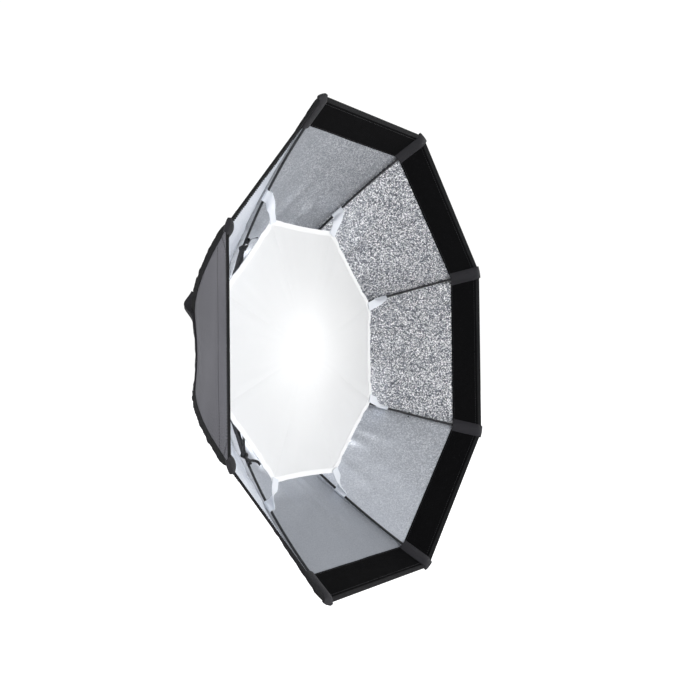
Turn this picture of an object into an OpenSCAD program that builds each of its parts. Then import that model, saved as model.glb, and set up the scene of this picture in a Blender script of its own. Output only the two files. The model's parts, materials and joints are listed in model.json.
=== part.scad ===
// Eight-sided folding studio softbox. It opens like an umbrella: a runner ring carries the
// eight ribs, and a strut ties each rib to the fixed hub behind the runner.
// The front opening faces -Y, +Z is up, and the origin is the centre of the rear face that
// bears on the lamp.

/* [Opening] */
// Distance from the axis to a corner of the front opening
rim_corner_r = 475; // [470:1:480]
// Depth from the lamp's face to the plane of the front opening
depth = 380; // [378:1:382]

/* [Shell] */
// Thickness of the shell fabric with its lining
shell_t = 1; // [0.8:0.1:1.1]
// Distance from the axis to a corner of the rear hem
hem_corner_r = 86; // [85:0.5:88]
// Width of the hook-and-loop band inside the rim
band_w = 64; // [55:1:66]
// Thickness of the hook-and-loop band
band_t = 1.2; // [0.8:0.1:1.3]
// Width of the webbing pocket over each rib tip
pocket_w = 28; // [22:1:30]

/* [Ribs and struts] */
// Diameter of a rib rod
rod_d = 5; // [4:0.25:5]
// Distance from the axis to the pivot between a rib and its strut
joint_r = 218.5; // [216:0.5:221]
// Distance of that pivot in front of the lamp's face
joint_y = 121; // [119:0.5:123]
// Rise of the rib's outer stretch above its straight chord
rib_bow = 11; // [10:0.5:11.5]
// Diameter of the strut's pivot pins
strut_pin_d = 4; // [3:0.25:4]

/* [Hub] */
// Radius of the throat that the lamp shines through
throat_r = 45; // [43:0.5:46]
// Outer radius of the speedring's flange
flange_r = 75; // [74:0.5:76]
// Outer radius of the three bayonet lugs
lug_r = 56; // [53:0.5:58]
// Diameter of a guide post
post_d = 6; // [5:0.25:6]

/* [Inner diffuser] */
// Distance from the axis to a corner of the inner diffuser
diffuser_corner_r = 270; // [255:1:272]
// Distance of the inner diffuser in front of the lamp's face
diffuser_y = 207; // [205:1:210]
// Width of a diffuser strap
diffuser_strap_w = 20; // [15:1:22]

/* [Hidden] */
$fn = 48;
sides = 8;
turn = 360 / sides;
half_turn = turn / 2;
first_corner = 112.5;
// Space left between neighbouring pieces of cloth, at each side of a fold or a seam
gap = 0.4;
// Running clearance of a pivot or a guide, on the radius
running = 0.05;
// Side clearance between a pivoting piece and the plates or ears either side of it
side_gap = 0.3;
// Overlap that joins two shapes of one piece
joined = 0.1;
// Extra length of a cutting shape past each face
past = 1;

// Shell profile in the plane of a rib, as (distance from the axis, Y): one quadratic curve
rim_point = [rim_corner_r, -depth];
shell_pull = [0.493 * rim_corner_r, -0.196 * depth];
hem_point = [hem_corner_r, -14];
shell_steps = 12;
band_steps = 3;

// Runner and hub places
runner_y = -73.6;
runner_pivot_r = 85;
hub_pivot = [78, -24];
rod_r = rod_d / 2;

// Rib path in its own plane
tip_inset = [12.5, -2.5];
rib_tip = rim_point - tip_inset;
rib_joint = [joint_r, -joint_y];
rib_root = [runner_pivot_r, runner_y];
rib_chord = rib_tip - rib_joint;
rib_arc_r = (norm(rib_chord) ^ 2) / (8 * rib_bow) + rib_bow / 2;
rib_arc = 2 * asin(norm(rib_chord) / 2 / rib_arc_r);
rib_out = [-rib_chord.y, rib_chord.x] / norm(rib_chord);
rib_arc_centre = (rib_tip + rib_joint) / 2 + rib_out * (rib_bow - rib_arc_r);
block_r = 6.5;
block_w = 8.2;
eye_w = 5;
rib_eye_r = 4.5;
tip_bead = 0.2;

// Strut, a U channel that closes over the rib's inner stretch
strut_pin_r = strut_pin_d / 2;
plate_t = 1.5;
plate_in = block_w / 2 + side_gap;
plate_half_h = 2.8;
web_t = 1.2;
web_bite = 0.3;
web_start = 45;
web_stop = 37;
eye_r = 5;

// Hub stack
flange_t = 5;
collar_h = 9;
collar_wall = 4;
lug_t = 2.7;
lug_arc = 40;
lug_count = 3;
hub_t = 9;
hub_front_y = -flange_t - hub_t;
screw_end_y = -flange_t * 0.3;
lug_foot_r = throat_r + 3;
hub_in_r = 52;
hub_out_r = 72;
runner_in_r = 60;
runner_out_r = 77;
runner_t = 10;
post_pitch_r = 66;
post_front_y = -84;
post_count = 4;
cap_r = 5;
cap_t = 4;
screw_pitch_r = 60;
screw_r = 2;
screw_head_r = 3.6;
screw_head_t = 2.5;
screw_count = 4;
pin_r = 1.5;
ear_t = 1.5;
hub_lug_root = [hub_out_r - 7, -10];
hub_lug_half_h = 4;
runner_lug_root = [runner_out_r - 3, runner_y];

// Fabric details
hem_t = 3;
hem_front_y = -8.5;
hem_inset = 0.5;
band_lift = 0.2;
band_from = 0.006;
pocket_at = 0.04;
pocket_t = 2;
pocket_len = 58;
pocket_over = 4;
pocket_lift = 0.4;
diffuser_t = 1.5;
strap_start_r = diffuser_corner_r + 0.5;
strap_reach_r = 308;

// Closure strap: where it lies along the shell, its width, and its outline as (height above the
// shell, Z), with the loop that stands out near its top
tie_share = 0.644;
tie_w = 25;
tie_outline = [[0.8, -78], [3, -78], [3, 60], [19, 80], [5, 106], [0.8, 106]];

function azimuth(i) = first_corner - turn * (i - 1);
function curve(t) = (1 - t) ^ 2 * rim_point + 2 * t * (1 - t) * shell_pull + t ^ 2 * hem_point;
function slope(t) = 2 * (1 - t) * (shell_pull - rim_point) + 2 * t * (hem_point - shell_pull);

// The profile at the middle of a flat side, moved inwards by d
function flat_curve(t) = [curve(t).x * cos(half_turn), curve(t).y];
function flat_slope(t) = [slope(t).x * cos(half_turn), slope(t).y];
function flat_in(t) = [-flat_slope(t).y, flat_slope(t).x] / norm(flat_slope(t));
function layer(t, d) = flat_curve(t) + flat_in(t) * d;

// Stands a shape drawn in (radius, Y) with its thickness along Z in the plane of an azimuth
module in_plane(a) {
    rotate([0, -a, 0]) children();
}

// Repeats a shape at n azimuths, starting at a
module around(n, a) {
    for (k = [0:n - 1]) in_plane(a + k * 360 / n) children();
}

// A tube about the Y axis between two Y values
module ring(y0, y1, r_in, r_out) {
    rotate([90, 0, 0])
        translate([0, 0, -y1])
            difference() {
                cylinder(r = r_out, h = y1 - y0, $fn = 96);
                translate([0, 0, -past]) cylinder(r = r_in, h = y1 - y0 + 2 * past, $fn = 96);
            }
}

// A rod along Y between two Y values, at a distance from the axis
module post(y0, y1, at_r, r) {
    translate([at_r, 0, 0])
        rotate([90, 0, 0])
            translate([0, 0, -y1]) cylinder(r = r, h = y1 - y0);
}

// A disc across the plane of a rib, centred on that plane
module disc(p, r, w) {
    translate([p.x, p.y, -w / 2]) cylinder(r = r, h = w);
}

// A flat bar from p to q in the plane of a rib, from z0 to z1 across it
module bar(p, q, below, above, z0, z1) {
    d = q - p;
    translate([p.x, p.y, 0])
        rotate([0, 0, atan2(d.y, d.x)])
            translate([0, -below, z0]) cube([norm(d), below + above, z1 - z0]);
}

// A straight rod from p to q in the plane of a rib
module rod(p, q, r) {
    d = q - p;
    translate([p.x, p.y, 0])
        rotate([0, 0, atan2(d.y, d.x)])
            rotate([0, 90, 0]) cylinder(r = r, h = norm(d));
}

// One layer of cloth on half of a flat side, from t0 to t1 along the profile and from depth
// d0 to d1 under the outer face. side is 1 or -1, away from the middle of the flat side.
module half_side(a, side, t0, t1, d0, d1, steps) {
    rows = [for (k = [0:steps]) t0 + (t1 - t0) * k / steps];
    edge = function(p) side * (p.x * tan(half_turn) - gap);
    points = [
        for (t = rows)
            let (o = layer(t, d0), n = layer(t, d1))
                each [
                    [o.x, o.y, side * gap],
                    [o.x, o.y, edge(o)],
                    [n.x, n.y, edge(n)],
                    [n.x, n.y, side * gap]
                ]
    ];
    sides_of = [
        for (k = [0:steps - 1], j = [0:3])
            let (m = (j + 1) % 4) [4 * k + j, 4 * k + 4 + j, 4 * k + 4 + m, 4 * k + m]
    ];
    ends = [[0, 1, 2, 3], [4 * steps + 3, 4 * steps + 2, 4 * steps + 1, 4 * steps]];
    faces = concat(sides_of, ends);
    in_plane(a)
        polyhedron(points, side > 0 ? faces : [for (f = faces) [for (k = [len(f) - 1:-1:0]) f[k]]]);
}

// Repeats a shape at the hub's screws
module screws() {
    around(screw_count, 180 / screw_count) children();
}

// Flange, collar and three bayonet lugs that lock into the lamp
module speedring() {
    color("silver")
        union() {
            difference() {
                ring(-flange_t, 0, throat_r, flange_r);
                screws() post(-flange_t - past, screw_end_y + joined, screw_pitch_r, screw_r);
            }
            ring(-joined, collar_h, throat_r, throat_r + collar_wall);
            for (k = [0:lug_count - 1])
                rotate([90, 0, 0])
                    translate([0, 0, -collar_h])
                        rotate([0, 0, 90 + k * 360 / lug_count - lug_arc / 2])
                            rotate_extrude(angle = lug_arc, $fn = 96)
                                translate([lug_foot_r, 0]) square([lug_r - lug_foot_r, lug_t]);
        }
}

// Fixed ring behind the runner, with one pivot lug for each strut
module hub_ring() {
    color("dimgray")
        difference() {
            union() {
                ring(hub_front_y, -flange_t, hub_in_r, hub_out_r);
                around(sides, half_turn) {
                    disc(hub_pivot, eye_r, block_w);
                    bar(hub_lug_root, hub_pivot, hub_lug_half_h, hub_lug_half_h, -block_w / 2, block_w / 2);
                }
            }
            around(sides, half_turn) disc(hub_pivot, strut_pin_r, block_w + 2 * past);
            screws() post(hub_front_y - past, -flange_t + past, screw_pitch_r, screw_r + 2 * running);
            around(post_count, 0) post(hub_front_y - past, -flange_t + past, post_pitch_r, post_d / 2);
        }
}

// Four screws that hold the speedring on the hub ring
module hub_screws() {
    color("gray")
        screws() {
            post(hub_front_y - screw_head_t, hub_front_y, screw_pitch_r, screw_head_r);
            post(hub_front_y - joined, screw_end_y, screw_pitch_r, screw_r);
        }
}

// Four posts fixed in the hub ring, which the runner slides on
module guide_posts() {
    color("lightgray") around(post_count, 0) post(post_front_y, -flange_t, post_pitch_r, post_d / 2);
}

// Stop caps on the front ends of the posts
module post_caps() {
    color("black")
        around(post_count, 0) post(post_front_y - cap_t, post_front_y, post_pitch_r, cap_r);
}

// Pins in the hub ring's lugs
module strut_pins() {
    color("gray") around(sides, half_turn) disc(hub_pivot, strut_pin_r, block_w);
}

// Hem that closes the rear edge of the shell round the hub ring
module rear_collar() {
    color("black")
        rotate([90, 0, 0])
            translate([0, 0, -hem_front_y])
                difference() {
                    rotate(half_turn) cylinder(r = hem_corner_r - hem_inset, h = hem_t, $fn = 8);
                    translate([0, 0, -past])
                        cylinder(r = hub_out_r + side_gap, h = hem_t + 2 * past, $fn = 96);
                }
}

// Sliding ring with a pair of ears for the inner end of each rib
module runner_ring() {
    ear_in = (eye_w + side_gap) / 2;
    color("dimgray")
        difference() {
            union() {
                ring(runner_y - runner_t / 2, runner_y + runner_t / 2, runner_in_r, runner_out_r);
                around(sides, half_turn)
                    for (s = [-1, 1])
                        translate([0, 0, s * (ear_in + ear_t / 2)]) {
                            disc(rib_root, eye_r, ear_t);
                            bar(runner_lug_root, rib_root, eye_r, eye_r, -ear_t / 2, ear_t / 2);
                        }
            }
            around(sides, half_turn) disc(rib_root, pin_r, 2 * block_w);
            around(post_count, 0)
                post(runner_y - runner_t, runner_y + runner_t, post_pitch_r, post_d / 2 + running);
        }
}

// Pins that hold the ribs in the runner's ears
module rib_pins() {
    color("gray") around(sides, half_turn) disc(rib_root, pin_r, eye_w + side_gap + 2 * ear_t);
}

// One rib: an outer arc, a pivot block with a stub pin each side, and a straight inner stretch
module rib(i) {
    stub = 2 * (plate_in + plate_t + side_gap);
    arc_from = atan2(rib_joint.y - rib_arc_centre.y, rib_joint.x - rib_arc_centre.x);
    color("darkslategray")
        in_plane(azimuth(i))
            difference() {
                union() {
                    translate([rib_arc_centre.x, rib_arc_centre.y, 0])
                        rotate([0, 0, arc_from - rib_arc])
                            rotate_extrude(angle = rib_arc, $fn = 96)
                                translate([rib_arc_r, 0]) circle(r = rod_r, $fn = 24);
                    translate([rib_tip.x, rib_tip.y, 0]) sphere(r = rod_r + tip_bead, $fn = 24);
                    rod(rib_joint, rib_root, rod_r);
                    disc(rib_joint, block_r, block_w);
                    disc(rib_joint, strut_pin_r - running, stub);
                    disc(rib_root, rib_eye_r, eye_w);
                }
                disc(rib_root, pin_r + running, eye_w + 2 * past);
            }
}

// One strut: two side plates and a web, open at the hub pivot
module strut(i) {
    along = (hub_pivot - rib_joint) / norm(hub_pivot - rib_joint);
    web_from = rib_joint + along * (block_r + web_start);
    web_to = hub_pivot - along * web_stop;
    color([0.15, 0.15, 0.16])
        in_plane(azimuth(i))
            union() {
                for (s = [-1, 1])
                    translate([0, 0, s * (plate_in + plate_t / 2)])
                        difference() {
                            union() {
                                disc(rib_joint, eye_r, plate_t);
                                disc(hub_pivot, eye_r, plate_t);
                                bar(rib_joint, hub_pivot, plate_half_h, plate_half_h,
                                    -plate_t / 2, plate_t / 2);
                            }
                            disc(rib_joint, strut_pin_r, plate_t + past);
                            disc(hub_pivot, strut_pin_r, plate_t + past);
                        }
                bar(web_from, web_to, plate_half_h + web_t, web_bite - plate_half_h,
                    -plate_in - plate_t / 2, plate_in + plate_t / 2);
            }
}

// Half of a gore, from the rib's seam to the fold line down its middle
module gore(i, side) {
    color([0.46, 0.46, 0.49]) half_side(azimuth(i) - half_turn, side, 0, 1, 0, shell_t, shell_steps);
}

// The band inside the rim at one corner, as its two halves either side of the rib
module rim_band(i) {
    t_end = band_w / norm(slope(0));
    under = shell_t + band_lift;
    color([0.07, 0.07, 0.08])
        for (s = [-1, 1])
            half_side(azimuth(i) + s * half_turn, -s, band_from, t_end, under, under + band_t, band_steps);
}

// Webbing pocket that lies over the tip of one rib
module tip_pocket(i) {
    along = slope(pocket_at) / norm(slope(pocket_at));
    over_rod = [-along.y, along.x] * (rod_r + pocket_t + pocket_lift);
    color([0.17, 0.16, 0.19])
        in_plane(azimuth(i))
            bar(rib_tip + along * pocket_len + over_rod, rib_tip - along * pocket_over + over_rod,
                pocket_t / 2, pocket_t / 2, -pocket_w / 2, pocket_w / 2);
}

// White sheet across the inside
module inner_diffuser() {
    color("white")
        rotate([90, 0, 0])
            translate([0, 0, diffuser_y - diffuser_t / 2])
                rotate(half_turn) cylinder(r = diffuser_corner_r, h = diffuser_t, $fn = 8);
}

// Straps from the diffuser's corners to the ribs
module diffuser_straps() {
    color("whitesmoke")
        around(sides, half_turn)
            translate([strap_start_r, -diffuser_y - diffuser_t / 2, -diffuser_strap_w / 2])
                cube([strap_reach_r - strap_start_r, diffuser_t, diffuser_strap_w]);
}

// Webbing across the outside of one gore, which ties the folded softbox shut
module closure_strap() {
    at = flat_curve(tie_share);
    along = flat_slope(tie_share);
    color("black")
        translate([-at.x, at.y, 0])
            rotate([0, 0, atan2(along.y, -along.x)])
                translate([-tie_w / 2, 0, 0])
                    multmatrix([[0, 0, 1, 0], [1, 0, 0, 0], [0, 1, 0, 0]])
                        linear_extrude(tie_w) polygon(tie_outline);
}

speedring();
hub_ring();
hub_screws();
guide_posts();
post_caps();
strut_pins();
rear_collar();
runner_ring();
rib_pins();
for (i = [1:sides]) {
    rib(i);
    strut(i);
    gore(i, 1);
    gore(i, -1);
    rim_band(i);
    tip_pocket(i);
}
inner_diffuser();
diffuser_straps();
closure_strap();
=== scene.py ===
"""Looks for the eight-sided studio softbox: cloth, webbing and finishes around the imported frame."""

import json
import math

import bpy
import numpy as np
from mathutils import Matrix, Vector


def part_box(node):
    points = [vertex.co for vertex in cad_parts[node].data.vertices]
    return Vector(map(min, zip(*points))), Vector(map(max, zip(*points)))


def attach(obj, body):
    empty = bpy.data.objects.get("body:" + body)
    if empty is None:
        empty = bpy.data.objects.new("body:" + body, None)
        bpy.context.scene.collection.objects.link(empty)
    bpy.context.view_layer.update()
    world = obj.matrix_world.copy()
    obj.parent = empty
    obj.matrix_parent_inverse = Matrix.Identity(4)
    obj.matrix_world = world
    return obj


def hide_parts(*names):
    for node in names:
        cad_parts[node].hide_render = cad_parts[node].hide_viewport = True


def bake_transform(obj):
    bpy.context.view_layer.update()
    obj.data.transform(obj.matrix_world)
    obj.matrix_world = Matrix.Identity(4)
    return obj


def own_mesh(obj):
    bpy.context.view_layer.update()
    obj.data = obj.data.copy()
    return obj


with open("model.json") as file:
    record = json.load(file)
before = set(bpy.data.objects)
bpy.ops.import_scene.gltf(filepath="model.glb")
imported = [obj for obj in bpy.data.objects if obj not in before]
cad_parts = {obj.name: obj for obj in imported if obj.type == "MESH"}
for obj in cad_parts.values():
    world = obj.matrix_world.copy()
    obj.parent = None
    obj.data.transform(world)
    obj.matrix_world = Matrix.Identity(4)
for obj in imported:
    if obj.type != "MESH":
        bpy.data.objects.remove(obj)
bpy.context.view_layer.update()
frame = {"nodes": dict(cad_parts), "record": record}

SIDES = 8
HALF_TURN = math.pi / SIDES
FIRST_CORNER = math.radians(112.5)
AXIS = np.array([0, 1.0, 0])  # from the rim to the hub

# ---------------------------------------------------------------- places, from the frame
GORE_LOW, GORE_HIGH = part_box("gore_1_a")
DIFFUSER_LOW, DIFFUSER_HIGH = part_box("inner_diffuser")
DEPTH = -GORE_LOW.y
RIM_R = max(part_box(f"gore_{i}_a")[1].x for i in range(1, SIDES + 1)) / math.cos(HALF_TURN)
HEM_CLEAR = 0.0005
HEM_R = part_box("rear_collar")[1].x / math.cos(HALF_TURN) + HEM_CLEAR
DIFFUSER_Y = (DIFFUSER_LOW.y + DIFFUSER_HIGH.y) / 2
DIFFUSER_R = DIFFUSER_HIGH.x / math.cos(HALF_TURN)
STRAP_END_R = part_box("diffuser_straps")[1].x / math.cos(HALF_TURN)

# The shell's profile in the plane of a rib is one quadratic curve in (distance from the axis, Y)
RIM = np.array([RIM_R, -DEPTH])
PULL = np.array([0.493 * RIM_R, -0.196 * DEPTH])
HEM = np.array([HEM_R, GORE_HIGH.y])

# ---------------------------------------------------------------- sizes, in metres
CLOTH_T = 0.0011  # outer cloth and lining together
BAND_W = 0.064
BAND_T = 0.0011
BAND_GAP = 0.0007  # room for the lining's folds behind the band
BINDING_W = 0.0072
BINDING_T = 0.0004
SEAM_W = 0.0065  # half the width of a seam's tape
SEAM_H = 0.0042
POCKET_W = 0.028
POCKET_LEN = 0.068
POCKET_T = 0.0014
STITCH_LEN = 0.0032
STITCH_GAP = 0.0018
STITCH_INSET = 0.003  # a row's distance from the edge of what it holds
THREAD_R = 0.00045
PATCH_LEN = 0.036
PATCH_SPAN = 0.22  # share of a half gore's width that a corner patch covers at the rim
TIE_R = 0.232  # ribbon ties' distance from the axis, beside the struts' pivots
RIBBON_T = 0.0006
CLOSURE_W = 0.025
LOOP_STAND = 0.019
TAPE_T = 0.0011
TAPE_W = 0.0185
STRAP_LOOP_W = 0.0260
SHEET_HALF_T = 0.0004  # half the diffuser's thickness

# For each gore's lining, judged from the photo: its lightness, which is painted light and shade on one
# cloth, and how strongly its pebbles show and its painted glints shine
LINING_PAINTED_LIGHT = [0.62, 0.84, 0.83, 1.10, 0.74, 1.20, 1.15, 1.15]
LINING_PEBBLES_AND_PAINTED_GLINT = [0.5, 1.0, 1.0, 0.45, 0.3, 0.1, 0.0, 0.0]

# ---------------------------------------------------------------- view and lights
CAMERA_PLACE = (-1.5543, -1.3215, -0.0400)
CAMERA_HEADING = 32.924
CAMERA_PITCH = 1.239
CAMERA_ROLL = -0.62
CAMERA_LENS = 49.637
# name, place, point it faces, diameter, power in watts
SOFT_LIGHTS = [
    ("key", (-0.3, -3.6, 0.0), (0, -0.2, 0), 1.2, 68),
    ("fill", (3.0, -1.4, 0.1), (-0.1, -0.2, 0), 1.8, 34),
    ("left", (-3.0, -0.1, 0.4), (0, -0.15, 0), 1.8, 62),
    ("back", (0.8, 2.6, 1.8), (0, -0.2, 0), 2.0, 14),
]
INSIDE_PLACE = (0, -0.115, 0)  # a weak light behind the diffuser, for what bounces in the shell
INSIDE_POWER = 1.1


def azimuth(corner):
    """Direction of a rim corner, numbered from 1 as the ribs are."""
    return FIRST_CORNER - 2 * HALF_TURN * (corner - 1)


def profile(t):
    """Points of the profile: t is 0 at the rim and 1 at the hem."""
    t = np.asarray(t, float)[..., None]
    return (1 - t) ** 2 * RIM + 2 * t * (1 - t) * PULL + t**2 * HEM


def profile_slope(t):
    """The profile's direction, from the rim towards the hem."""
    t = np.asarray(t, float)[..., None]
    return 2 * (1 - t) * (PULL - RIM) + 2 * t * (HEM - PULL)


FINE = np.linspace(0, 1, 401)
FLAT = np.array([math.cos(HALF_TURN), 1.0])
FINE_LEN = np.concatenate(
    [[0], np.cumsum(np.linalg.norm(np.diff(profile(FINE) * FLAT, axis=0), axis=1))]
)
GORE_LEN = FINE_LEN[-1]


def t_at(s):
    """Profile parameter at a distance s from the rim, along the middle of a flat side."""
    return np.interp(s, FINE_LEN, FINE)


def unit(v):
    return v / np.linalg.norm(v, axis=-1, keepdims=True)


def plane_axes(az):
    """Radial and tangential unit vectors at an azimuth, in the row frame."""
    return np.array([math.cos(az), 0, math.sin(az)]), np.array([-math.sin(az), 0, math.cos(az)])


def smooth(x, a, b):
    """0 below a, 1 above b, smooth between."""
    w = np.clip((np.asarray(x, float) - a) / (b - a), 0, 1)
    return w * w * (3 - 2 * w)


def waves(s, v, seed, count, low, high):
    """A sum of seeded sine waves over a surface, from about -1 to 1."""
    rng = np.random.default_rng(seed)
    total = np.zeros(np.broadcast(s, v).shape)
    for _ in range(count):
        angle, phase = rng.uniform(0, math.pi), rng.uniform(0, 2 * math.pi)
        pitch = rng.uniform(low, high)
        total += np.sin((s * math.cos(angle) + v * math.sin(angle)) * 2 * math.pi / pitch + phase)
    return total / math.sqrt(count)


def cloth_dip(gore, t, u, lining):
    """How far the cloth lies inside the flat panel: sag between ribs, drag lines and soft folds."""
    sag_depth, drag, looseness, pleat_height, pleats = 0.0075, 0.0011, 0.0013, 0.0045, 3
    s = np.interp(t, FINE, FINE_LEN)
    u = np.clip(u, -1, 1)
    width = profile(t)[..., 0] * math.sin(HALF_TURN)
    v = u * width
    held = (1 - np.abs(u) ** 3) * smooth(s, 0.0, 0.10) * smooth(GORE_LEN - s, 0.0, 0.06)
    sag = sag_depth * (1 - u**2) * smooth(s, 0.05, 0.25) * smooth(GORE_LEN - s, 0.02, 0.25)
    dip = sag + drag * held * waves(s, v, 10 + gore, 7, 0.09, 0.26)
    if lining:
        free = held * smooth(s, BAND_W - 0.004, 0.15)
        loose = looseness * waves(s, v, 50 + gore, 9, 0.03, 0.10)
        for k in range(pleats):
            lean = 0.9 * math.sin(gore * 2.1 + k)
            pleat_at = 0.45 * math.sin(gore * 1.3 + 2.1 * k)
            pleat = np.exp(-(((u - pleat_at - lean * (s / GORE_LEN - 0.55)) / 0.11) ** 2))
            loose = loose + pleat_height * pleat * smooth(s, 0.10 + 0.05 * k, 0.24)
        # the lining may come off the outer cloth, but never goes through it
        dip = dip + free * (np.sqrt(loose**2 + CLOTH_T**2) + loose - CLOTH_T) / 2
    return dip


def shell_point(gore, t, u, depth, lining=False):
    """Points of one gore. u runs from -1 at the next rib's seam to 1 at the gore's own rib."""
    t, u = np.broadcast_arrays(np.asarray(t, float), np.asarray(u, float))
    p, slope = profile(t) * FLAT, unit(profile_slope(t) * FLAT)
    inward = np.stack([-slope[..., 1], slope[..., 0]], -1)
    d = depth + cloth_dip(gore, t, u, lining)
    q = p + inward * d[..., None]
    radial, tangent = plane_axes(azimuth(gore) - HALF_TURN)
    half_width = q[..., 0] * math.tan(HALF_TURN)
    return q[..., :1] * radial + q[..., 1:] * AXIS + (u * half_width)[..., None] * tangent


# ---------------------------------------------------------------- mesh makers
def new_object(name, vertices, faces, materials, slots=None, uvs=None):
    """A mesh object from arrays. slots is a material number for each face."""
    mesh = bpy.data.meshes.new(name)
    mesh.from_pydata([tuple(v) for v in vertices], [], faces)
    for m in materials:
        mesh.materials.append(m)
    if slots is not None:
        mesh.polygons.foreach_set("material_index", slots)
    mesh.polygons.foreach_set("use_smooth", [True] * len(mesh.polygons))
    if uvs is not None:
        layer = mesh.uv_layers.new(name="Cloth")
        loops = np.zeros(len(mesh.loops), int)
        mesh.loops.foreach_get("vertex_index", loops)
        layer.data.foreach_set("uv", np.asarray(uvs, np.float32)[loops].ravel())
    mesh.validate()
    mesh.update()
    obj = bpy.data.objects.new(name, mesh)
    bpy.context.scene.collection.objects.link(obj)
    return obj


def grid_normals(grid):
    """Unit normals of a grid of points, from the differences to its neighbours."""
    return unit(np.cross(np.gradient(grid, axis=0), np.gradient(grid, axis=1)) + 1e-15)


def grid_lengths(grid):
    """Distances along each way of a grid, as texture coordinates in metres."""
    along = np.linalg.norm(np.diff(grid, axis=0), axis=2)
    across = np.linalg.norm(np.diff(grid, axis=1), axis=2)
    u = np.concatenate([np.zeros((1, grid.shape[1])), np.cumsum(along, 0)])
    v = np.concatenate([np.zeros((grid.shape[0], 1)), np.cumsum(across, 1)], 1)
    return np.stack([u, v - v[:, -1:] / 2], -1)


def two_faced(name, front, back, materials, normals=None):
    """A thin closed sheet between two grids of points. materials are for front, back and edges."""
    m, n = front.shape[:2]
    at = np.arange(m * n).reshape(m, n)
    quads = np.stack([at[:-1, :-1], at[1:, :-1], at[1:, 1:], at[:-1, 1:]], -1).reshape(-1, 4)
    i, j = m // 2, n // 2
    outward = front[i, j] - back[i, j]
    face_up = np.cross(front[i, j] - front[i - 1, j], front[i, j] - front[i, j - 1])
    flip = np.dot(face_up, outward) < 0
    top = quads[:, ::-1] if flip else quads
    under = (quads if flip else quads[:, ::-1]) + m * n
    ring = np.concatenate([at[0, :], at[1:, -1], at[-1, -2::-1], at[-2:0:-1, 0]])
    following = np.roll(ring, -1)
    side = np.stack([ring, following, following + m * n, ring + m * n], -1)
    if flip:
        side = side[:, ::-1]
    faces = np.concatenate([top, under, side])
    slots = [0] * len(top) + [1 % len(materials)] * len(under) + [len(materials) - 1] * len(side)
    points = np.concatenate([front.reshape(-1, 3), back.reshape(-1, 3)])
    uv = grid_lengths(front).reshape(-1, 2)
    obj = new_object(name, points, faces.tolist(), materials, slots, np.concatenate([uv, uv]))
    mark_sharp(obj, len(top) + len(under))
    if normals is not None:
        set_normals(obj, normals, len(top) + len(under), outward, (i, j))
    return obj


def mark_sharp(obj, from_face):
    """Splits the shading between a sheet's faces and its thin edges."""
    mesh = obj.data
    edge_keys = {key for p in list(mesh.polygons)[from_face:] for key in p.edge_keys}
    attribute = mesh.attributes.new("sharp_edge", "BOOLEAN", "EDGE")
    attribute.data.foreach_set("value", [e.key in edge_keys for e in mesh.edges])


def set_normals(obj, normals, edge_face, outward, middle):
    """Gives a sheet's two faces normals worked out on a wider grid, so that halves join unseen."""
    front, back = normals
    if np.dot(front[middle], outward) < 0:
        front, back = -front, -back
    per_vertex = np.concatenate([front.reshape(-1, 3), -back.reshape(-1, 3)])
    mesh = obj.data
    loops = np.zeros(len(mesh.loops), int)
    mesh.loops.foreach_get("vertex_index", loops)
    chosen = per_vertex[loops]
    chosen[mesh.polygons[edge_face].loop_start:] = 0
    mesh.normals_split_custom_set(chosen.tolist())


def strip(name, centre, across, up, width, thick, materials, crown=0.0, columns=5):
    """A flat tape along a line of points: across and up are unit vectors at each point."""
    c, a, n = (np.asarray(x, float)[:, None, :] for x in (centre, across, up))
    v = np.linspace(-0.5, 0.5, columns)[None, :, None]
    lift = np.broadcast_to(crown, (len(centre),))[:, None, None] * (1 - (2 * v) ** 2)
    w = np.broadcast_to(np.asarray(width, float), (len(centre),))[:, None, None]
    top = c + a * v * w + n * (thick / 2 + lift)
    under = c + a * v * w + n * (lift - thick / 2)
    return two_faced(name, top, under, materials)


def join(name, parts):
    """Several new objects as one, keeping their materials."""
    bpy.ops.object.select_all(action="DESELECT")
    for p in parts:
        p.select_set(True)
    bpy.context.view_layer.objects.active = parts[0]
    bpy.ops.object.join()
    parts[0].name = parts[0].data.name = name
    return parts[0]


def wire_ring(name, points, radius, material, sides=8):
    """A closed ring of round wire through points."""
    n = len(points)
    ahead = unit(np.roll(points, -1, 0) - np.roll(points, 1, 0))
    side = np.cross(ahead[0], [0.31, 0.17, 0.93])
    corners = np.arange(sides) * 2 * math.pi / sides
    vertices = []
    for p, d in zip(points, ahead):
        side = unit(side - d * np.dot(side, d))
        up = np.cross(d, side)
        vertices += [p + radius * (math.cos(a) * side + math.sin(a) * up) for a in corners]
    at = np.arange(n * sides).reshape(n, sides)
    beside, beyond = np.roll(at, -1, 1), np.roll(at, -1, 0)
    faces = np.stack([at, beside, np.roll(beside, -1, 0), beyond], -1).reshape(-1, 4)
    return new_object(name, vertices, faces.tolist(), [material])


# ---------------------------------------------------------------- materials
def material(name):
    """A new node material, its nodes and links, and its shader."""
    m = bpy.data.materials.new(name)
    m.use_nodes = True
    nodes, links = m.node_tree.nodes, m.node_tree.links
    return m, nodes, links, nodes["Principled BSDF"]


def textured(nodes, links, kind, scale, source, **inputs):
    """A texture node that reads source, coordinates in metres. inputs are its other sockets."""
    node = nodes.new(kind)
    node.inputs["Scale"].default_value = scale
    for key, value in inputs.items():
        node.inputs[key].default_value = value
    links.new(source, node.inputs["Vector"])
    return node


def object_coords(nodes):
    return nodes.new("ShaderNodeTexCoord").outputs["Object"]


def cloth_coords(nodes):
    node = nodes.new("ShaderNodeUVMap")
    node.uv_map = "Cloth"
    return node.outputs["UV"]


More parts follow.
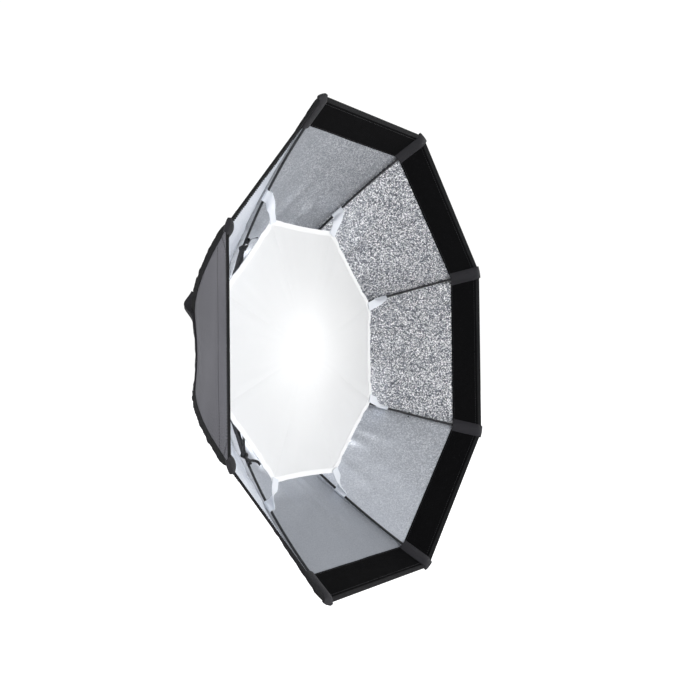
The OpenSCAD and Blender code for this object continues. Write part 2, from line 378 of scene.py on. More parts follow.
def ramp(nodes, links, value, stops):
    node = nodes.new("ShaderNodeValToRGB")
    while len(node.color_ramp.elements) < len(stops):
        node.color_ramp.elements.new(0.5)
    for element, (at, colour) in zip(node.color_ramp.elements, stops):
        element.position = at
        element.color = (*colour, 1)
    links.new(value, node.inputs["Fac"])
    return node.outputs["Color"]


def math_node(nodes, links, operation, a, b=None):
    node = nodes.new("ShaderNodeMath")
    node.operation = operation
    for socket, value in zip(node.inputs, (a, b)):
        if value is None:
            continue
        if isinstance(value, (int, float)):
            socket.default_value = value
        else:
            links.new(value, socket)
    return node.outputs[0]


def bump(nodes, links, shader, height, strength, distance):
    node = nodes.new("ShaderNodeBump")
    node.inputs["Strength"].default_value = strength
    node.inputs["Distance"].default_value = distance
    links.new(height, node.inputs["Height"])
    links.new(node.outputs["Normal"], shader.inputs["Normal"])


def weave_height(nodes, links, coords, pitch):
    """Over-and-under threads of a plain weave at a pitch in metres."""
    split = nodes.new("ShaderNodeSeparateXYZ")
    links.new(coords, split.inputs[0])
    turn = 2 * math.pi / pitch
    threads = []
    for axis in ("X", "Y"):
        angle = math_node(nodes, links, "MULTIPLY", split.outputs[axis], turn)
        threads.append(math_node(nodes, links, "SINE", angle))
    return math_node(nodes, links, "MULTIPLY", *threads)


def cloth_material(name, dark, light, pitch, rough, sheen, depth):
    """Woven cloth: fine weave, slow colour variation and a little sheen."""
    m, nodes, links, shader = material(name)
    coords = cloth_coords(nodes)
    drift = textured(nodes, links, "ShaderNodeTexNoise", 9, object_coords(nodes), Detail=4)
    colour = ramp(nodes, links, drift.outputs["Fac"], [(0.3, dark), (0.7, light)])
    links.new(colour, shader.inputs["Base Color"])
    weave = weave_height(nodes, links, coords, pitch)
    fuzz = textured(nodes, links, "ShaderNodeTexNoise", 900, coords, Detail=2)
    height = math_node(nodes, links, "ADD", weave, fuzz.outputs["Fac"])
    bump(nodes, links, shader, height, 0.5, depth)
    roughness = math_node(nodes, links, "MULTIPLY_ADD", drift.outputs["Fac"], 0.14)
    roughness.node.inputs[2].default_value = rough - 0.07
    links.new(roughness, shader.inputs["Roughness"])
    shader.inputs["Sheen Weight"].default_value = sheen
    shader.inputs["Sheen Roughness"].default_value = 0.4
    shader.inputs["Specular IOR Level"].default_value = 0.3
    return m


def lining_material(gore):
    """Silver cloth: smooth satin, with small pebbles and painted glints that grow towards one side of
    the shell; each gore's copy is lighter or darker, painted light and shade.
    """
    m, nodes, links, shader = material(f"silver_lining_{gore}")
    # this gore's lightness is painted light and shade: the eight linings are one cloth
    painted_light = np.array(LINING_PAINTED_LIGHT[gore - 1])
    coords = object_coords(nodes)
    slow = textured(nodes, links, "ShaderNodeTexNoise", 5, coords, Detail=3)
    # the pebbles and painted glints grow along this direction in the shell's own frame, towards one side
    place = nodes.new("ShaderNodeVectorMath")
    place.operation = "DOT_PRODUCT"
    place.inputs[1].default_value = (0.9, -0.35, 0.35)
    links.new(coords, place.inputs[0])
    spread = math_node(nodes, links, "MULTIPLY_ADD", slow.outputs["Fac"], 0.34)
    links.new(place.outputs["Value"], spread.node.inputs[2])
    pebble_and_glint_side = ramp(nodes, links, spread, [(0.13, (0, 0, 0)), (0.52, (1, 1, 1))])
    pebbles_and_painted_glint = math_node(nodes, links, "MULTIPLY", pebble_and_glint_side, LINING_PEBBLES_AND_PAINTED_GLINT[gore - 1])
    grains = textured(nodes, links, "ShaderNodeTexVoronoi", 500, coords)
    split = nodes.new("ShaderNodeSeparateXYZ")
    links.new(grains.outputs["Color"], split.inputs[0])
    # painted glints: random grains from dark to white in the base colour
    painted_glints = ramp(nodes, links, split.outputs["X"],
                 [(0.0, (0.05, 0.054, 0.064)), (0.5, (0.26, 0.27, 0.30)), (1.0, (1.0, 1.0, 1.0))])
    satin_noise = textured(nodes, links, "ShaderNodeTexNoise", 420, coords, Detail=3)
    # the satin's colour, made lighter or darker for each gore as painted light and shade
    satin = ramp(nodes, links, satin_noise.outputs["Fac"],
                 [(0.3, painted_light * (0.58, 0.61, 0.67)), (0.7, painted_light * (0.72, 0.75, 0.80))])
    colour = nodes.new("ShaderNodeMixRGB")
    links.new(pebbles_and_painted_glint, colour.inputs["Fac"])
    links.new(satin, colour.inputs["Color1"])
    links.new(painted_glints, colour.inputs["Color2"])
    links.new(colour.outputs[0], shader.inputs["Base Color"])
    shader.inputs["Metallic"].default_value = 0.6
    links.new(ramp(nodes, links, split.outputs["Y"],
                   [(0.0, (0.30,) * 3), (1.0, (0.50,) * 3)]), shader.inputs["Roughness"])
    pebble = math_node(nodes, links, "MULTIPLY", grains.outputs["Distance"], pebbles_and_painted_glint)
    fine = math_node(nodes, links, "MULTIPLY_ADD", satin_noise.outputs["Fac"], 0.25)
    links.new(pebble, fine.node.inputs[2])
    bump(nodes, links, shader, fine, 0.8, 0.0016)
    return m


def loop_material():
    """Matte black loop pile of the hook-and-loop band."""
    m, nodes, links, shader = material("loop_pile")
    coords = cloth_coords(nodes)
    pile = textured(nodes, links, "ShaderNodeTexNoise", 700, coords, Detail=4, Roughness=0.7)
    tufts = textured(nodes, links, "ShaderNodeTexVoronoi", 520, coords)
    links.new(ramp(nodes, links, pile.outputs["Fac"],
                   [(0.3, (0.0020,) * 3), (0.75, (0.0062, 0.0062, 0.0070))]),
              shader.inputs["Base Color"])
    height = math_node(nodes, links, "ADD", pile.outputs["Fac"], tufts.outputs["Distance"])
    bump(nodes, links, shader, height, 0.8, 0.0012)
    shader.inputs["Roughness"].default_value = 0.95
    shader.inputs["Specular IOR Level"].default_value = 0.05
    return m


def hard_material(name, colour, metallic, rough, grain, coat=0.0):
    """Metal or plastic with a fine grain, uneven gloss and rubbed high spots."""
    m, nodes, links, shader = material(name)
    coords = object_coords(nodes)
    spots = textured(nodes, links, "ShaderNodeTexNoise", 60, coords, Detail=6)
    fine = textured(nodes, links, "ShaderNodeTexNoise", grain, coords, Detail=3)
    worn = tuple(min(1, c * 1.25 + 0.01) for c in colour)
    links.new(ramp(nodes, links, spots.outputs["Fac"], [(0.35, colour), (0.75, worn)]),
              shader.inputs["Base Color"])
    links.new(ramp(nodes, links, spots.outputs["Fac"],
                   [(0.3, (rough * 0.8,) * 3), (0.7, (min(1, rough * 1.25),) * 3)]),
              shader.inputs["Roughness"])
    shader.inputs["Metallic"].default_value = metallic
    shader.inputs["Coat Weight"].default_value = coat
    bump(nodes, links, shader, fine.outputs["Fac"], 0.25, 0.0003)
    return m


def diffuser_material():
    """Thin white polyester that lets light through."""
    m, nodes, links, shader = material("diffuser_cloth")
    coords = object_coords(nodes)
    threads = textured(nodes, links, "ShaderNodeTexNoise", 1400, coords, Detail=2)
    slow = textured(nodes, links, "ShaderNodeTexNoise", 7, coords, Detail=3)
    links.new(ramp(nodes, links, slow.outputs["Fac"],
                   [(0.3, (0.90, 0.90, 0.895)), (0.7, (0.93, 0.93, 0.925))]),
              shader.inputs["Base Color"])
    shader.inputs["Roughness"].default_value = 0.75
    shader.inputs["Sheen Weight"].default_value = 0.15
    bump(nodes, links, shader, threads.outputs["Fac"], 0.2, 0.0003)
    clear = nodes.new("ShaderNodeBsdfTranslucent")
    clear.inputs["Color"].default_value = (0.92, 0.92, 0.92, 1)
    mix = nodes.new("ShaderNodeMixShader")
    mix.inputs["Fac"].default_value = 0.34
    out = nodes["Material Output"]
    links.new(shader.outputs[0], mix.inputs[1])
    links.new(clear.outputs[0], mix.inputs[2])
    links.new(mix.outputs[0], out.inputs["Surface"])
    return m


NYLON = cloth_material("black_nylon", (0.088, 0.086, 0.101), (0.112, 0.110, 0.127),
                       pitch=0.0009, rough=0.5, sheen=0.12, depth=0.0002)
LININGS = [lining_material(gore) for gore in range(1, SIDES + 1)]
LOOP = loop_material()
WEBBING = cloth_material("charcoal_webbing", (0.010, 0.0095, 0.012), (0.019, 0.018, 0.022),
                         pitch=0.0024, rough=0.7, sheen=0.05, depth=0.0006)
BINDING = cloth_material("binding_tape", (0.002, 0.002, 0.0025), (0.005, 0.005, 0.006),
                         pitch=0.0014, rough=0.8, sheen=0.01, depth=0.0004)
RIBBON = cloth_material("black_ribbon", (0.010, 0.010, 0.011), (0.018, 0.018, 0.020),
                        pitch=0.0008, rough=0.5, sheen=0.2, depth=0.0002)
DIFFUSER = diffuser_material()
HEM_CLOTH = cloth_material("diffuser_hem", (0.955, 0.955, 0.955), (0.985, 0.985, 0.985),
                           pitch=0.0012, rough=0.7, sheen=0.2, depth=0.0002)
WHITE_TAPE = cloth_material("white_tape", (0.78, 0.81, 0.86), (0.86, 0.88, 0.92),
                            pitch=0.0016, rough=0.7, sheen=0.2, depth=0.0003)
THREAD = cloth_material("black_thread", (0.012, 0.012, 0.014), (0.024, 0.024, 0.027),
                        pitch=0.0006, rough=0.6, sheen=0.1, depth=0.0001)
ROD = hard_material("coated_rod", (0.018, 0.018, 0.020), metallic=0.3, rough=0.34, grain=400, coat=0.2)
STEEL = hard_material("plated_steel", (0.62, 0.63, 0.65), metallic=1.0, rough=0.28, grain=500)
ALLOY = hard_material("satin_alloy", (0.66, 0.67, 0.69), metallic=1.0, rough=0.36, grain=700)
DARK_METAL = hard_material("powder_coat", (0.022, 0.022, 0.024), metallic=0.1, rough=0.5, grain=900)
PLASTIC = hard_material("black_plastic", (0.018, 0.018, 0.018), metallic=0.0, rough=0.45, grain=500)


# ---------------------------------------------------------------- cloth shell
def half_body(gore, side):
    """Names for one half of a gore: its letter, its rib's number and the body it turns with."""
    letter = "a" if side > 0 else "b"
    rib = gore if side > 0 else gore % SIDES + 1
    return letter, rib, f"pleat_{gore}_{letter}"


def rib_line(rib, t):
    """Points along a rib's seam on the shell."""
    p = profile(t)
    radial, _ = plane_axes(azimuth(rib))
    return p[..., :1] * radial + p[..., 1:] * AXIS


def shell_gore(gore):
    """One gore's cloth, as two halves that meet at its fold line.
    """
    rows, columns = 64, 22
    t = np.linspace(0, 1, rows)[:, None]
    u = np.linspace(-1, 1, 2 * columns + 1)[None, :]
    outer = shell_point(gore, t, u, 0.0)
    inner = shell_point(gore, t, u, CLOTH_T, lining=True)
    normals = grid_normals(outer), grid_normals(inner)
    for side in (1, -1):
        letter, rib, body = half_body(gore, side)
        part = slice(columns, None) if side > 0 else slice(0, columns + 1)
        cloth = two_faced(
            f"gore_{gore}_{letter}_cloth", outer[:, part], inner[:, part],
            [NYLON, LININGS[gore - 1], BINDING], [n[:, part] for n in normals])
        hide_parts(f"gore_{gore}_{letter}")
        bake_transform(cloth)


def rim_band(gore, side):
    """Hook-and-loop band inside the rim, with a soft edge."""
    letter, rib, body = half_body(gore, side)
    rows, columns = 14, 24
    s = np.linspace(0.0005, BAND_W, rows)
    edge = np.minimum(smooth(s, 0, 0.003), smooth(BAND_W - s, -0.0005, 0.003))
    t = t_at(s)[:, None]
    u = side * np.linspace(0, 0.992, columns)[None, :]
    pile = 0.0003 * waves(s[:, None], u * 0.18, 200 + gore, 10, 0.004, 0.012)
    base = CLOTH_T + BAND_GAP
    near = shell_point(gore, t, u, base + (BAND_T + pile) * (0.35 + 0.65 * edge[:, None]))
    far = shell_point(gore, t, u, base)
    band = two_faced(f"rim_band_{gore}_{letter}", near, far, [LOOP, LOOP, LOOP])
    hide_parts(f"rim_band_{rib}")
    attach(band, body)


def rim_binding(gore, side):
    """Folded tape round the edge of the rim."""
    letter, _, body = half_body(gore, side)
    u = side * np.linspace(0, 1.0, 20)
    turn = np.linspace(0, math.pi, 9)
    outer_face, inner_face = -0.0004, 0.0032
    middle, half = (outer_face + inner_face) / 2, (inner_face - outer_face) / 2
    # from the shell's outside, round its edge and back inside: distance from the rim, and depth
    round_edge = np.concatenate([[0.0024, 0.0016], 0.0006 - 0.0010 * np.sin(turn),
                                 [BINDING_W / 2, BINDING_W]])
    depth = np.concatenate([[outer_face] * 2, middle - half * np.cos(turn), [inner_face] * 2])
    on_shell, level = 0.002, 1e-4
    rim_slope = unit(profile_slope(0.0) * FLAT)
    rim_in = np.array([-rim_slope[1], rim_slope[0]])
    radial, tangent = plane_axes(azimuth(gore) - HALF_TURN)

    def grid(extra):
        rows = []
        for s, d in zip(round_edge, depth):
            away = d + extra * np.sign(d - middle) if abs(d - middle) > level else d
            if s > on_shell:
                p = profile(t_at(s)) * FLAT + rim_in * away
            else:
                p = profile(0.0) * FLAT + rim_slope * (s - extra) + rim_in * away
            across = u * p[0] * math.tan(HALF_TURN)
            rows.append([p[0] * radial + p[1] * AXIS + a * tangent for a in across])
        return np.array(rows)

    tape = two_faced(f"rim_binding_{gore}_{letter}", grid(BINDING_T), grid(0.0), [BINDING])
    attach(tape, body)


def stitch_row(gore, side, s, u0, u1, depth):
    """Centres and directions of the stitches in one row that runs along the rim."""
    t = t_at(s)
    half_width = profile(t)[0] * math.sin(HALF_TURN)
    count = int(half_width * (u1 - u0) / (STITCH_LEN + STITCH_GAP))
    u = side * (u0 + (u1 - u0) * (np.arange(count) + 0.5) / count)
    _, tangent = plane_axes(azimuth(gore) - HALF_TURN)
    return shell_point(gore, np.full(count, t), u, depth), np.tile(tangent, (count, 1))


def stitches(name, rows, body):
    """Short raised threads, one for each stitch, thinner at their ends."""
    rings = ((-0.5, 0.45), (-0.3, 1), (0.3, 1), (0.5, 0.45))  # shares of its length and radius
    sides = 5
    corners = np.arange(sides) * 2 * math.pi / sides
    vertices, faces = [], []
    for centres, directions in rows:
        for c, d in zip(centres, directions):
            side = unit(np.cross(d, c * [1, 0, 1] + 0.3 * AXIS))
            up = np.cross(d, side)
            first = len(vertices)
            for along, share in rings:
                middle, r = c + d * along * STITCH_LEN, THREAD_R * share
                vertices += [middle + r * (side * math.cos(a) + up * math.sin(a)) for a in corners]
            for ring in range(first, first + (len(rings) - 1) * sides, sides):
                for k in range(sides):
                    j = (k + 1) % sides
                    faces.append([ring + k, ring + j, ring + sides + j, ring + sides + k])
            last = first + (len(rings) - 1) * sides
            faces += [[first + k for k in range(sides)][::-1], [last + k for k in range(sides)]]
    thread = new_object(name, vertices, faces, [THREAD])
    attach(thread, body)


def rim_stitching(gore, side):
    """Two rows outside the shell and two on the band inside it."""
    letter, _, body = half_body(gore, side)
    last_row = BAND_W - STITCH_INSET
    on_shell, on_band = -0.0002, CLOTH_T + 0.0022
    outside = [stitch_row(gore, side, s, 0.01, 0.97, on_shell) for s in (0.0075, last_row)]
    inside = [stitch_row(gore, side, s, 0.01, 0.95, on_band) for s in (0.012, last_row)]
    stitches(f"stitching_{gore}_{letter}", outside + inside, body)


def seam_tape(rib):
    """Bound seam along a rib: a tape folded over the joined edges, which stand up outside the shell."""
    t = np.linspace(0.0, 1.0, 90)
    slope = unit(profile_slope(t))
    radial, tangent = plane_axes(azimuth(rib))
    outward = slope[:, 1:] * radial - slope[:, :1] * AXIS
    v = np.array([-1, -0.5, -0.3, -0.16, 0, 0.16, 0.3, 0.5, 1])[None, :] * SEAM_W
    s = np.interp(t, FINE, FINE_LEN)
    level = np.zeros(len(s))
    ridge_w, leaning_w = 0.0021, 0.002
    bunch = 0.0007 * waves(s, level, 300 + rib, 6, 0.012, 0.05)[:, None]
    lean = 0.0010 * waves(s, level, 340 + rib, 5, 0.02, 0.09)[:, None]
    crest = SEAM_H * smooth(s, -0.01, 0.03)[:, None] * np.exp(-((v / ridge_w) ** 4)) + bunch
    base = rib_line(rib, t)

    def grid(out):
        lift = crest - np.abs(v) * math.tan(HALF_TURN) * 0.98 + out
        sideways = v + lean * np.exp(-((v / leaning_w) ** 2))
        return base[:, None, :] + sideways[..., None] * tangent + lift[..., None] * outward[:, None, :]

    tape = two_faced(f"seam_tape_{rib}", grid(0.0014), grid(0.0003), [BINDING])
    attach(tape, f"rib_{rib}")


def tip_pocket(rib):
    """Webbing pocket over a rib's tip: it covers the rod inside and folds out over the rim."""
    radial, tangent = plane_axes(azimuth(rib))
    slope = unit(profile_slope(0.03))
    inward = np.array([-slope[1], slope[0]])
    over_rod, on_band, outside = 0.0086, 0.0040, -0.0009
    # its rows: 14 over the rod, 3 down to the band, 7 round the rim's edge and 2 outside
    turn = np.linspace(0, math.pi, 9)[1:-1]
    s = np.concatenate([np.linspace(POCKET_LEN, 0.010, 14), [0.006, 0.003, 0.001],
                        np.zeros(7), [0.002, 0.005]])
    depth = np.concatenate([
        np.linspace(over_rod - 0.0018, over_rod, 14),
        np.array([0.72, 0.3, 0.06]) * (over_rod - on_band) + on_band,
        (on_band + outside) / 2 + (on_band - outside) / 2 * np.cos(turn),
        np.full(2, outside),
    ])
    reach = np.concatenate([np.zeros(17), 0.0005 * np.sin(turn), np.zeros(2)])
    taper = np.concatenate([np.full(14, 1.0), np.full(3, 0.98), np.linspace(0.96, 0.84, 7), [0.8, 0.76]])
    crown = np.concatenate([np.full(14, 0.0040), [0.0034, 0.0026, 0.0016], np.full(9, 0.0008)])
    line = profile(np.zeros(len(s))) + slope * (s - reach)[:, None] + inward * depth[:, None]
    points = line[:, :1] * radial + line[:, 1:] * AXIS
    across = np.tile(tangent, (len(points), 1))
    up = np.cross(across, unit(np.gradient(points, axis=0)))
    if np.dot(up[0], radial * inward[0] + AXIS * inward[1]) < 0:
        up = -up
    pocket = strip(f"tip_pocket_{rib}_webbing", points, across, up, POCKET_W * taper, POCKET_T,
                   [WEBBING], crown=crown, columns=13)
    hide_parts(f"tip_pocket_{rib}")
    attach(pocket, f"rib_{rib}")


def corner_patch(gore, side):
    """Triangle of shell cloth sewn over the rim's corner outside, with its stitches."""
    letter, _, body = half_body(gore, side)
    s = np.linspace(0.004, PATCH_LEN, 7)
    share = np.linspace(0, 1, 7)[None, :]
    start = 1 - PATCH_SPAN * (1 - (s - s[0]) / (PATCH_LEN - s[0]))[:, None]
    u = side * (start + (0.985 - start) * share)
    t = t_at(s)[:, None] * np.ones_like(u)
    patch = two_faced(f"corner_patch_{gore}_{letter}", shell_point(gore, t, u, -0.0007),
                      shell_point(gore, t, u, 0.0001), [NYLON])
    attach(patch, body)
    along = np.linspace(0.06, 0.92, 11)
    line_s = s[0] + (PATCH_LEN - s[0]) * along
    line_u = side * (1 - PATCH_SPAN * (1 - along) + 0.012)
    points = shell_point(gore, t_at(line_s), line_u, -0.0009)
    ahead = unit(np.gradient(points, axis=0))
    stitches(f"patch_stitching_{gore}_{letter}", [(points, ahead)], body)


# ---------------------------------------------------------------- inner diffuser
def diffuser_edge(az):
    """Distance of the diffuser's hem from the axis: straight sides, drawn in a little."""
    off = (az + HALF_TURN) % (2 * HALF_TURN) - HALF_TURN
    side = DIFFUSER_R * math.cos(HALF_TURN) / np.cos(off)
    return side - 0.003 * (1 - (off / HALF_TURN) ** 2)


def diffuser_lift(r, az):
    """Shallow folds in the diffuser that run from its straps towards the middle."""
    share = r / diffuser_edge(az)
    fan = np.cos(SIDES * (az - HALF_TURN))
    folds = 0.0022 * share**2 * np.cos(5 * SIDES * az) * (0.5 + 0.5 * fan)
    slow = 0.0022 * np.sin(3 * az + 0.7) * share * (1 - share) * 4
    return folds + slow + 0.004 * (1 - share**2)


def diffuser_sector(k):
    """One narrow sector of the sheet."""
    wide = HALF_TURN
    az = np.linspace(k * wide, (k + 1) * wide, 9)[None, :]
    share = np.linspace(0.0, 1.0, 26)[:, None]
    r = np.maximum(share * diffuser_edge(az), 0.0004)

    def grid(offset, rows=slice(None)):
        y = DIFFUSER_Y - diffuser_lift(r, az) + offset
        return np.stack([r * np.cos(az), y, r * np.sin(az)], -1)[rows]

    sector = two_faced(f"inner_diffuser_{k + 1}", grid(-SHEET_HALF_T), grid(SHEET_HALF_T), [DIFFUSER])
    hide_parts("inner_diffuser")
    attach(sector, "diffuser")
    hem = two_faced(f"diffuser_hem_{k + 1}", grid(-0.0013, slice(-2, None)),
                    grid(-0.0005, slice(-2, None)), [HEM_CLOTH])
    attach(hem, "diffuser")
    for piece in (sector, hem):
        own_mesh(piece)


def rod_place(rib, r):
    """Centre of a rib's rod at a distance from the axis, and the rod's direction there."""
    half_span, nearest = 0.02, 24
    mesh = frame["nodes"][f"rib_{rib}"].data
    points = np.zeros(3 * len(mesh.vertices))
    mesh.vertices.foreach_get("co", points)
    points = points.reshape(-1, 3)
    radial, _ = plane_axes(azimuth(rib))
    away = points @ radial
    rings = []
    for centre in (r - half_span, r + half_span):
        close = points[np.argsort(np.abs(away - centre))[:nearest]]
        rings.append(np.array([(close @ radial).mean(), close[:, 1].mean()]))
    ahead = unit(rings[1] - rings[0])
    share = (r - rings[0][0]) / (rings[1][0] - rings[0][0])
    middle = rings[0] + (rings[1] - rings[0]) * share
    return middle, ahead


def diffuser_strap(rib):
    """White tape from a corner of the diffuser, a quarter turned, to the loop round its rib's rod."""
    radial, tangent = plane_axes(azimuth(rib))
    (rod_r, rod_y), rod_ahead = rod_place(rib, STRAP_END_R + 0.004)
    along_rod = rod_ahead[0] * radial + rod_ahead[1] * AXIS
    inward = -rod_ahead[1] * radial + rod_ahead[0] * AXIS
    inward = inward if np.dot(inward, radial) < 0 else -inward
    rod = rod_r * radial + rod_y * AXIS
    start = (DIFFUSER_R - 0.009) * radial + (DIFFUSER_Y - 0.0024) * AXIS
    end = rod + inward * 0.0085
    share = np.linspace(0, 1, 22)[:, None]
    line = start + (end - start) * share - AXIS * 0.0012 * np.sin(share * math.pi)
    turn = smooth(share, 0.35, 1.0) * math.radians(84)
    across = unit(-np.cos(turn) * tangent + np.sin(turn) * along_rod)
    ahead = unit(np.gradient(line, axis=0))
    up = unit(np.cross(ahead, across))
    width = TAPE_W + (STRAP_LOOP_W - TAPE_W) * smooth(share[:, 0], 0.4, 1.0)
    strap = strip(f"diffuser_strap_{rib}", line, across, up, width, TAPE_T, [WHITE_TAPE], columns=7)
    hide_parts("diffuser_straps")
    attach(strap, "diffuser")
    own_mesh(strap)

    angle = np.linspace(-0.80, 0.80, 15) * math.pi
    side = np.cross(along_rod, inward)
    radius = 0.0034
    tail = inward * 0.0092
    ring = [rod - inward * radius * math.cos(a) + side * radius * math.sin(a) for a in angle]
    loop_line = np.array([rod + tail] + ring + [rod + tail])
    outward = np.array([-inward * math.cos(a) + side * math.sin(a) for a in angle])
    outward = unit(np.concatenate([[-side], outward, [side]]))
    loop = strip(f"strap_loop_{rib}", loop_line, np.tile(along_rod, (len(loop_line), 1)), outward,
                 STRAP_LOOP_W, 0.0010, [WHITE_TAPE], columns=7)
    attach(loop, f"rib_{rib}")


# ---------------------------------------------------------------- ties, closure strap
def closure_strap():
    """Webbing across the outside of the left gore: it lies on the cloth, with a loop near its top."""
    low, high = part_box("closure_strap")
    gore = SIDES - 1
    middle_y = (low.y + high.y) / 2
    t_mid = np.interp(middle_y, profile(FINE)[:, 1], FINE)
    s_mid = np.interp(t_mid, FINE, FINE_LEN)
    half_side = float(profile(t_mid)[0]) * math.sin(HALF_TURN)
    z = np.linspace(high.z, low.z, 90)
    loop_top, loop_tip, loop_foot = high.z - 0.001, 0.080, 0.060
    stand = np.interp(z, [0.015, loop_foot, 0.066, loop_tip, loop_top],
                      [0, 0.0025, 0.0050, LOOP_STAND, 0.0030])
    kernel = np.hanning(9)[1:-1] / np.hanning(9)[1:-1].sum()
    stand[3:-3] = np.convolve(stand, kernel, "valid")
    across = np.linspace(-0.5, 0.5, 9)[None, :]
    pinch = 1 - 0.35 * smooth(stand, 0.003, LOOP_STAND)[:, None]
    t = t_at(s_mid + CLOSURE_W * across * pinch)
    u = np.repeat(-z[:, None] / half_side, across.size, axis=1)
    ripple = 0.0003 * waves(z[:, None], across * CLOSURE_W, 900, 5, 0.012, 0.04)
    outside = shell_point(gore, t, u, -(0.0026 + stand[:, None] + ripple))
    against = shell_point(gore, t, u, -0.0009)
    tie = two_faced("closure_strap_webbing", outside, against, [WEBBING])
    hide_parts("closure_strap")
    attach(tie, "rib_8")
    angle = np.linspace(0, 2 * math.pi, 24, endpoint=False)
    u_ring = -(low.z + 0.004 + 0.0055 * np.sin(angle)) / half_side
    ring = shell_point(gore, t_at(s_mid + 0.004 + 0.0045 * np.cos(angle)), u_ring, -0.0040)
    ring_piece = wire_ring("closure_ring", ring, 0.0008, STEEL)
    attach(ring_piece, "rib_8")


def ribbon_tie(rib):
    """Ribbon wound round a rib beside its strut's pivot, knotted, with two short tails."""
    radial, tangent = plane_axes(azimuth(rib))
    (at_r, at_y), rod_ahead = rod_place(rib, TIE_R)
    along = rod_ahead[0] * radial + rod_ahead[1] * AXIS
    inward = np.cross(tangent, along)
    inward = inward if np.dot(inward, radial) < 0 else -inward
    centre = at_r * radial + at_y * AXIS
    rng = np.random.default_rng(700 + rib)
    parts = []
    for k in range(3):
        angle = np.linspace(0, 2 * math.pi, 22)
        radius = 0.0033 + 0.0006 * k
        shift = (k - 1) * 0.0022 + 0.0016 * np.sin(angle + k)
        wind = [centre + along * d + radius * (inward * math.cos(a) + tangent * math.sin(a))
                for a, d in zip(angle, shift)]
        up = unit(np.array([inward * math.cos(a) + tangent * math.sin(a) for a in angle]))
        parts.append(strip(f"wind_{rib}_{k}", wind, np.tile(along, (len(wind), 1)), up,
                           0.0060, RIBBON_T, [RIBBON]))
    knot = centre + inward * 0.0052
    for way in (-1, 1):
        share = np.linspace(0, 1, 14)[:, None]
        reach = rng.uniform(0.014, 0.021)
        aim = unit(tangent * way + along * rng.uniform(-0.7, 0.7) + inward * rng.uniform(-0.1, 0.5))
        line = knot + aim * reach * share + inward * 0.004 * np.sin(share * math.pi) * way
        curl = share * rng.uniform(-1.2, 1.2)
        across = unit(np.cos(curl) * along + np.sin(curl) * inward)
        ahead = unit(np.gradient(line, axis=0))
        across = unit(across - ahead * np.sum(across * ahead, axis=1, keepdims=True))
        parts.append(strip(f"tail_{rib}_{way}", line, across, np.cross(ahead, across),
                           0.0062, RIBBON_T, [RIBBON]))
    tie = join(f"ribbon_tie_{rib}", parts)
    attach(tie, f"rib_{rib}")


# ---------------------------------------------------------------- finishes on the CAD pieces
def finish_cad():
    """Materials for the frame's own pieces."""
    looks = {"alloy": ALLOY, "steel": STEEL, "dark_metal": DARK_METAL, "black_plastic": PLASTIC,
             "rib_rod": ROD, "black_webbing": WEBBING}
    for row in frame["record"]["subparts"]:
        look = looks.get(row["material_slot"])
        if look is None:
            continue
        obj = frame["nodes"][row["node"]]
        obj.data.materials.clear()
        obj.data.materials.append(look)


# ---------------------------------------------------------------- floor, lights, camera
def floor_material(name, colour):
    """Pale matte floor that glows for the camera only, so that it shows as the photo's white ground."""
    m, nodes, links, shader = material(name)
    drift = textured(nodes, links, "ShaderNodeTexNoise", 2, object_coords(nodes), Detail=2)
    light = tuple(min(1, c * 1.01) for c in colour)
    links.new(ramp(nodes, links, drift.outputs["Fac"], [(0.3, colour), (0.7, light)]),
              shader.inputs["Base Color"])
    shader.inputs["Roughness"].default_value = 0.9
    shader.inputs["Emission Color"].default_value = (1, 1, 1, 1)
    path = nodes.new("ShaderNodeLightPath")
    links.new(path.outputs["Is Camera Ray"], shader.inputs["Emission Strength"])
    return m


def place_new(name, data, place):
    """A new object in the scene for a light's or camera's data."""
    obj = bpy.data.objects.new(name, data)
    bpy.context.scene.collection.objects.link(obj)
    obj.location = place
    return obj


def lights():
    """Soft round lights about the softbox, and a weak one inside it."""
    for name, place, aim, size, power in SOFT_LIGHTS:
        data = bpy.data.lights.new(name, "AREA")
        data.shape, data.size, data.energy = "DISK", size, power
        lamp = place_new(name, data, place)
        lamp.rotation_euler = (Vector(aim) - Vector(place)).to_track_quat("-Z", "Y").to_euler()
    inside = bpy.data.lights.new("inside", "POINT")
    inside.energy, inside.shadow_soft_size = INSIDE_POWER, 0.07
    place_new("inside", inside, INSIDE_PLACE)


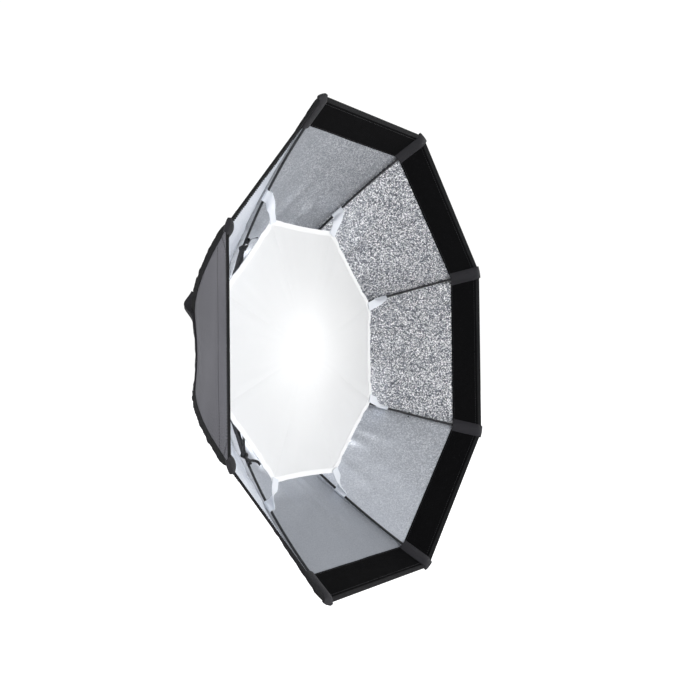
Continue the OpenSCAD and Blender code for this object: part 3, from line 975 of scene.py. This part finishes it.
def surroundings():
    """Pale floor and even light from all round, which the camera sees as white."""
    span, floor_z = 60, -1.5
    corners = [(x, y, floor_z) for x, y in ((-span, -span), (span, -span), (span, span), (-span, span))]
    new_object("floor", corners, [[0, 1, 2, 3]], [floor_material("pale_floor", (0.93,) * 3)])
    world = bpy.data.worlds.new("studio")
    bpy.context.scene.world = world
    world.use_nodes = True
    nodes, links = world.node_tree.nodes, world.node_tree.links
    shown, lit = nodes["Background"], nodes.new("ShaderNodeBackground")
    shown.inputs["Color"].default_value = (1, 1, 1, 1)
    shown.inputs["Strength"].default_value = 1.05
    lit.inputs["Color"].default_value = (0.95, 0.97, 1.0, 1)
    lit.inputs["Strength"].default_value = 0.38
    path, mix = nodes.new("ShaderNodeLightPath"), nodes.new("ShaderNodeMixShader")
    links.new(path.outputs["Is Camera Ray"], mix.inputs["Fac"])
    links.new(lit.outputs[0], mix.inputs[1])
    links.new(shown.outputs[0], mix.inputs[2])
    links.new(mix.outputs[0], nodes["World Output"].inputs["Surface"])


def camera():
    """The photograph's view: from the left of the opening, a little below the axis."""
    heading, pitch, roll = (math.radians(a) for a in (CAMERA_HEADING, CAMERA_PITCH, CAMERA_ROLL))
    ahead = Vector((math.cos(pitch) * math.cos(heading), math.cos(pitch) * math.sin(heading),
                    math.sin(pitch)))
    right = ahead.cross(Vector((0, 0, 1))).normalized()
    up = right.cross(ahead)
    turned_right = right * math.cos(roll) + up * math.sin(roll)
    turned_up = -right * math.sin(roll) + up * math.cos(roll)
    data = bpy.data.cameras.new("camera")
    data.sensor_width, data.lens = 36, CAMERA_LENS
    data.clip_start = 0.05
    cam = place_new("camera", data, CAMERA_PLACE)
    turn = Matrix((turned_right, turned_up, -ahead)).transposed()
    cam.matrix_world = Matrix.Translation(CAMERA_PLACE) @ turn.to_4x4()
    bpy.context.scene.camera = cam


camera()
for gore in range(1, SIDES + 1):
    shell_gore(gore)
    for side in (1, -1):
        rim_band(gore, side)
        rim_binding(gore, side)
        rim_stitching(gore, side)
        corner_patch(gore, side)
for rib in range(1, SIDES + 1):
    seam_tape(rib)
    ribbon_tie(rib)
    tip_pocket(rib)
    diffuser_strap(rib)
for k in range(2 * SIDES):
    diffuser_sector(k)
closure_strap()
finish_cad()
surroundings()
lights()
bpy.context.scene.view_settings.view_transform = "Standard"
